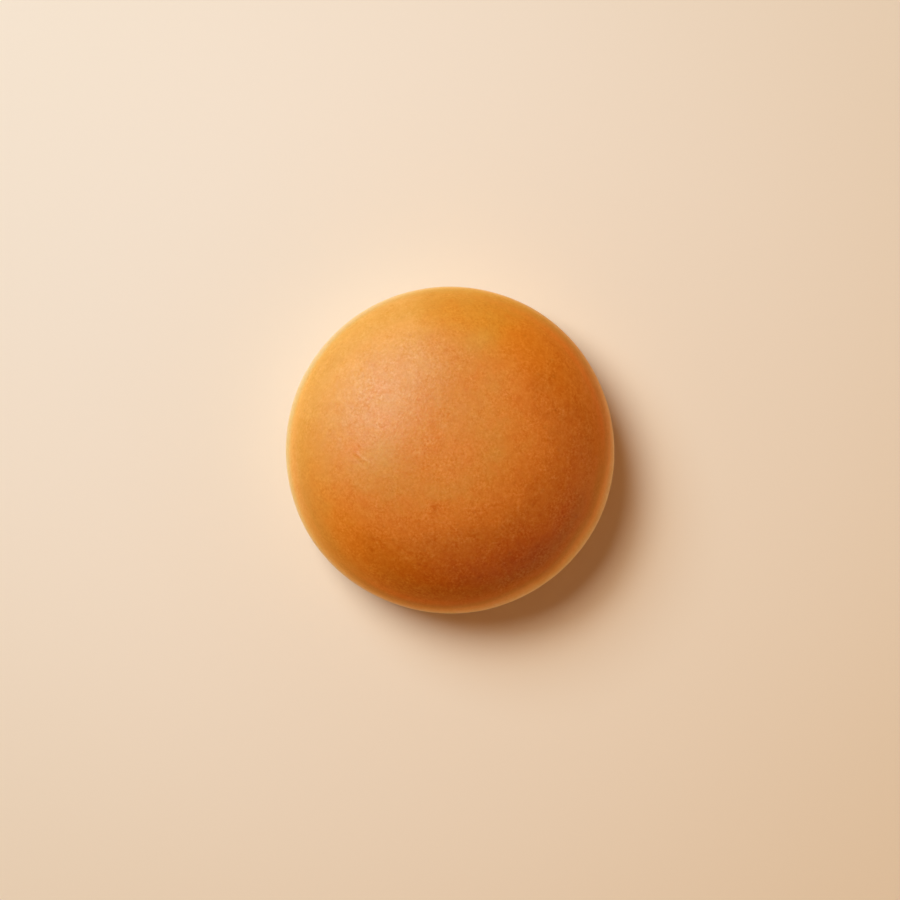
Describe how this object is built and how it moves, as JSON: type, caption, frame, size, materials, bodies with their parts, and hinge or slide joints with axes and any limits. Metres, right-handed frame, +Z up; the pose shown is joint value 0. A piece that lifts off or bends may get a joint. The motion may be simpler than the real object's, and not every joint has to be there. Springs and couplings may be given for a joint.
{
  "type": "hamburger bun",
  "caption": "Whole plain hamburger bun with a smooth domed golden-brown crown, a paler rounded side and a flat base, for slicing and filling.",
  "frame": {"origin": "middle of the flat base, on the surface that the bun stands on", "axes": "+Z up through the crown's peak; +Y is the top of the picture and +X its right-hand side"},
  "size_m": [0.1022, 0.1016, 0.0432],
  "materials": {
    "crust": "baked golden-brown crust with a soft satin shine"
  },
  "bodies": {
    "root": {"bun": "crust"}
  },
  "joints": []
}
